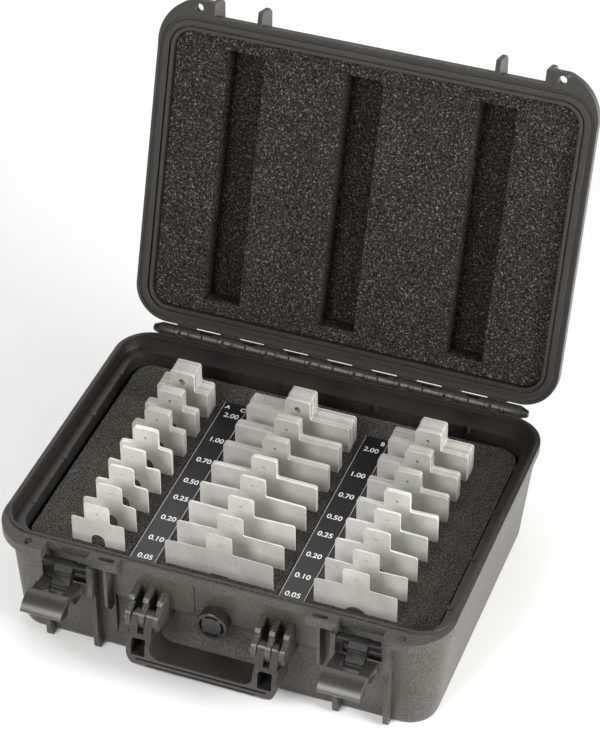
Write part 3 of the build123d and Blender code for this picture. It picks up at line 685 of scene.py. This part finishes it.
# %% Foam in the lid
lid_foam_half = (191.2, 134.2)
lid_foam_corner = 17.5
lid_foam_face, lid_foam_back = 117.2, 155.2
lid_foam_sink = 0.5
groove_half, groove_depth = 18, 22.0
groove_front, groove_end = -122.0, 121.2
grooves = []
for size in ("a", "c", "b"):
    low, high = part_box(f"shims_{size}_005")
    middle = (low[0] + high[0]) / 2 / mm
    # the block is drawn face up and turned over, so front and back change places
    grooves.append((middle - groove_half, middle + groove_half, -groove_end, -groove_front, groove_depth))
lid_foam = foam_block("lid_foam_block", *lid_foam_half, lid_foam_corner,
                      lid_foam_back - lid_foam_face - lid_foam_sink, grooves, 2.8, foam_rough)
lid_foam.data.transform(lid_turn @ Matrix.Translation((0, 0, (lid_foam_face + lid_foam_sink) * mm))
                        @ Matrix.Rotation(math.pi, 4, "X"))
finish_piece(lid_foam, "foam", "lid", "lid_foam", look="lid_foam")

# %% [markdown]
# One plate is a square with a tab on top and a slot below. Its outline is a chain of lines and arcs.
# The thin plates bow a little, as loose sheet steel does.

# %% One plate
tab_width, tab_height = 24.0, 19.0
tab_foot = 1.5
plate_corner = 2.5
hole_height = 8.6
bow_cuts = 16


def arc(cx, cz, radius, start, end, count):
    """Points along an arc, its angles in degrees."""
    step = (end - start) / count
    angles = [math.radians(start + step * i) for i in range(count + 1)]
    return [(cx + radius * math.cos(angle), cz + radius * math.sin(angle)) for angle in angles]


def plate_outline(size, slot, slot_drop):
    """Outline round the plate, its tab and its slot, with z 0 at the shoulder."""
    half, slot_half, tab_half, corner = size / 2, slot / 2, tab_width / 2, plate_corner
    points = arc(half - corner, -size + corner, corner, -90, 0, 4)
    points += arc(half - corner, -corner, corner, 0, 90, 4)
    points += [(tab_half + corner, 0)]
    points += arc(tab_half + tab_foot, tab_foot, tab_foot, -90, -180, 3)
    points += arc(tab_half - corner, tab_height - corner, corner, 0, 90, 4)
    points += arc(-tab_half + corner, tab_height - corner, corner, 90, 180, 4)
    points += arc(-tab_half - tab_foot, tab_foot, tab_foot, 0, -90, 3)
    points += arc(-half + corner, -corner, corner, 90, 180, 4)
    points += arc(-half + corner, -size + corner, corner, 180, 270, 4)
    points += [(-slot_half, -size)]
    points += arc(0, -slot_drop - slot_half, slot_half, 180, 0, 10) + [(slot_half, -size)]
    clean = []
    for point in points:
        if not clean or math.dist(point, clean[-1]) > 0.01:
            clean.append(point)
    return clean


def plate_mesh(name, size, slot, slot_drop, thickness, hole, bow=0.0):
    """One closed plate standing on edge, its front face at y 0, bowed back a little at its ends."""
    plate = bmesh.new()
    edges = []
    for loop in (plate_outline(size, slot, slot_drop), arc(0, hole_height, hole, 0, 360 * 13 / 14, 13)):
        verts = [plate.verts.new((x * mm, 0, z * mm)) for x, z in loop]
        edges += [plate.edges.new((a, b)) for a, b in zip(verts, verts[1:] + verts[:1])]
    bmesh.ops.triangle_fill(plate, use_beauty=True, use_dissolve=False, edges=edges)
    thicken(plate, (0, thickness * mm, 0))
    if bow:
        for cut in range(1, bow_cuts):
            x = size * (cut / bow_cuts - 0.5) * mm
            bmesh.ops.bisect_plane(plate, geom=plate.verts[:] + plate.edges[:] + plate.faces[:],
                                   plane_co=(x, 0, 0), plane_no=(1, 0, 0))
        for vert in plate.verts:
            vert.co.y += bow * mm * math.cos(vert.co.x / (size * mm) * math.pi * 1.3)
    mesh = mesh_of(plate, name)
    mesh.set_sharp_from_angle(angle=math.radians(30))
    return mesh


print("plate corner", plate_corner, "mm")

# %% [markdown]
# A stack is one plate repeated. A Geometry Nodes tree stands the plates behind each other with a small
# random shift, because nobody pushes a stack perfectly square. It ends by making them real and
# painting them, so a stack can be baked to a plain mesh.


# %% Tree that stands plates in a row
def stack_tree(material):
    """Plates in a row, each moved a little sideways and mostly down by chance."""
    tree = bpy.data.node_groups.new("stack_of_plates", "GeometryNodeTree")
    tree.interface.new_socket("Geometry", in_out="INPUT", socket_type="NodeSocketGeometry")
    for label, kind, value in (("Plates", "NodeSocketInt", 10), ("Pitch", "NodeSocketFloat", 0.001),
                               ("Shift", "NodeSocketFloat", 0.0002), ("Seed", "NodeSocketInt", 1)):
        socket = tree.interface.new_socket(label, in_out="INPUT", socket_type=kind)
        socket.default_value = value
    tree.interface.new_socket("Geometry", in_out="OUTPUT", socket_type="NodeSocketGeometry")
    given = add_node(tree, "NodeGroupInput").outputs
    step = add_node(tree, "ShaderNodeCombineXYZ", {"Y": given["Pitch"]})
    row = add_node(tree, "GeometryNodeMeshLine", {"Count": given["Plates"], "Offset": step.outputs["Vector"]})
    jitter = add_node(tree, "FunctionNodeRandomValue", {
        "Min": (-1, 0, -1), "Max": (1, 0, 0.3), "Seed": given["Seed"]}, data_type="FLOAT_VECTOR")
    scaled = add_node(tree, "ShaderNodeVectorMath", {
        "Vector": jitter.outputs["Value"], "Scale": given["Shift"]}, operation="SCALE")
    moved = add_node(tree, "GeometryNodeSetPosition", {
        "Geometry": row.outputs["Mesh"], "Offset": scaled.outputs["Vector"]})
    placed = add_node(tree, "GeometryNodeInstanceOnPoints", {
        "Points": moved.outputs["Geometry"], "Instance": given["Geometry"]})
    real = add_node(tree, "GeometryNodeRealizeInstances", {"Geometry": placed.outputs["Instances"]})
    painted = add_node(tree, "GeometryNodeSetMaterial", {
        "Geometry": real.outputs["Geometry"], "Material": material})
    add_node(tree, "NodeGroupOutput", {"Geometry": painted.outputs["Geometry"]})
    return tree


def baked(piece, name):
    """The evaluated object as a plain mesh object, with its modifiers left behind."""
    shown = piece.evaluated_get(bpy.context.evaluated_depsgraph_get())
    mesh = bpy.data.meshes.new_from_object(shown)
    mesh.name = name
    result = add_object(name, mesh)
    bpy.data.objects.remove(piece)
    return result


tree = stack_tree(finishes["shim_steel"])
inputs = {item.name: item.identifier for item in tree.interface.items_tree if item.in_out == "INPUT"}
print("tree inputs", sorted(inputs))

# %% [markdown]
# Every stack fills the box of its own solid. Thick stacks hold ten plates, and thin ones hold two that
# bow and lie closer together. The thickest plates of two columns have a large hole in the tab.

# %% Stacks of plates
slot_widths = {"a": 13.0, "c": 32.0, "b": 21.0}
small_plate, small_slot_drop = 50, 15.5
thick_from = 6
small_hole, large_hole = 1.6, 3.4
thin_bows = (-0.7, 0.9, 0.6)
for number, node in enumerate(stacks):
    low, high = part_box(node)
    size = (high[0] - low[0]) / mm
    thick = (high[1] - low[1]) / mm
    thin = thick < thick_from
    count = 2 if thin else 10
    hole = large_hole if node.endswith("200") and "_b_" not in node else small_hole
    gap = min(0.3, 0.15 * thick / count)
    slot_drop = small_slot_drop * size / small_plate
    mesh = plate_mesh(node + "_plate", size, slot_widths[node[6]], slot_drop, thick / count - gap, hole,
                      bow=thin_bows[number % 3] if thin else 0.0)
    mesh.transform(Matrix.Translation(((low[0] + high[0]) / 2, low[1], high[2] - tab_height * mm)))
    source = add_object(node + "_source", mesh)
    rows = source.modifiers.new("stack", "NODES")
    rows.node_group = tree
    rows[inputs["Plates"]] = count
    rows[inputs["Pitch"]] = thick / count * mm
    rows[inputs["Shift"]] = (0.15 if thin else 0.42) * mm
    rows[inputs["Seed"]] = number
    piece = baked(source, node + "_plates")
    piece.data.shade_smooth()
    piece.data.set_sharp_from_angle(angle=math.radians(30))
    finish_piece(piece, "shim_steel", body_of[node], node, look="thin_steel" if thin else None)
print("stacks", len(stacks))

# %% [markdown]
# The strips are black film with a pale line down each long edge and plain white numbers, one for each
# row, so that a plate goes back where it came from.

# %% Numbers and lines on the strips
row_labels = ("0.05", "0.10", "0.20", "0.25", "0.50", "0.70", "1.00", "2.00")
number_rows = (-117.9, -93.4, -65.3, -36.8, -12.7, 17.8, 48.3, 85.0)
number_size, number_inset = 0.0084, 0.0124
letter_size, letter_row = 0.0072, 0.0962
letter_shifts = (-0.0078, 0.0073)
ink_gap = 0.0001
strip_cut, strip_corner = 0.008, 0.0015
line_inset = {"left": 0.0018, "right": 0.0006}
inner_inset = 0.0006
line_half, line_height = 0.00025, 0.00008


def film(name, low, high, corner):
    """Thin sheet with round corners, from one corner of its box to the other."""
    points = [(high[0] - corner, low[1] + corner, -90), (high[0] - corner, high[1] - corner, 0),
              (low[0] + corner, high[1] - corner, 90), (low[0] + corner, low[1] + corner, 180)]
    loop = [point for x, y, start in points for point in arc(x, y, corner, start, start + 90, 4)]
    sheet = bmesh.new()
    sheet.faces.new([sheet.verts.new((x, y, low[2])) for x, y in loop])
    thicken(sheet, (0, 0, high[2] - low[2]))
    return add_object(name, mesh_of(sheet, name))


def printed(name, text, size, centre):
    """A thin printed word lying on its back, centred on a point."""
    curve = bpy.data.curves.new(name, "FONT")
    curve.body = text
    curve.size = size
    curve.align_x = "CENTER"
    curve.align_y = "CENTER"
    curve.extrude = 0.00004
    curve.offset = 0.0001
    holder = add_object(name + "_text", curve)
    bpy.context.view_layer.update()
    piece = baked(holder, name)
    piece.data.transform(Matrix.Translation(centre))
    return piece


def edge_line(name, x, front, back, level):
    """A pale line from front to back, standing just proud of the strip."""
    mesh = bpy.data.meshes.new(name)
    corners = [(x + side * line_half, y, z) for z in (level, level + line_height)
               for side, y in ((-1, front), (1, front), (1, back), (-1, back))]
    faces = [(3, 2, 1, 0), (4, 5, 6, 7), (0, 1, 5, 4), (1, 2, 6, 5), (2, 3, 7, 6), (3, 0, 4, 7)]
    mesh.from_pydata(corners, [], faces)
    return add_object(name, mesh)


for strip, letters in (("left", ("A", "C")), ("right", ("", "B"))):
    low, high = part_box(f"label_strip_{strip}")
    strip_back = high[1] - strip_cut
    middle = high[0] - number_inset
    ink_height = high[2] + ink_gap
    sheet = film(f"strip_film_{strip}", low, (high[0], strip_back, high[2]), strip_corner)
    finish_piece(sheet, "label_film", "case", f"label_strip_{strip}")
    marks = []
    for label, y in zip(row_labels, number_rows):
        name = f"number_{strip}_{label.replace('.', '')}"
        marks.append(printed(name, label, number_size, (middle, y * mm, ink_height)))
    for letter, shift in zip(letters, letter_shifts):
        if letter:
            spot = (middle + shift, letter_row, ink_height)
            marks.append(printed(f"letter_{letter}", letter, letter_size, spot))
    for mark in marks:
        finish_piece(mark, "white_ink", "case")
    for edge, x in (("inner", low[0] + inner_inset), ("outer", high[0] - line_inset[strip])):
        line = edge_line(f"line_{strip}_{edge}", x, low[1], strip_back, high[2])
        finish_piece(line, "edge_ink", "case")
print("strips done")
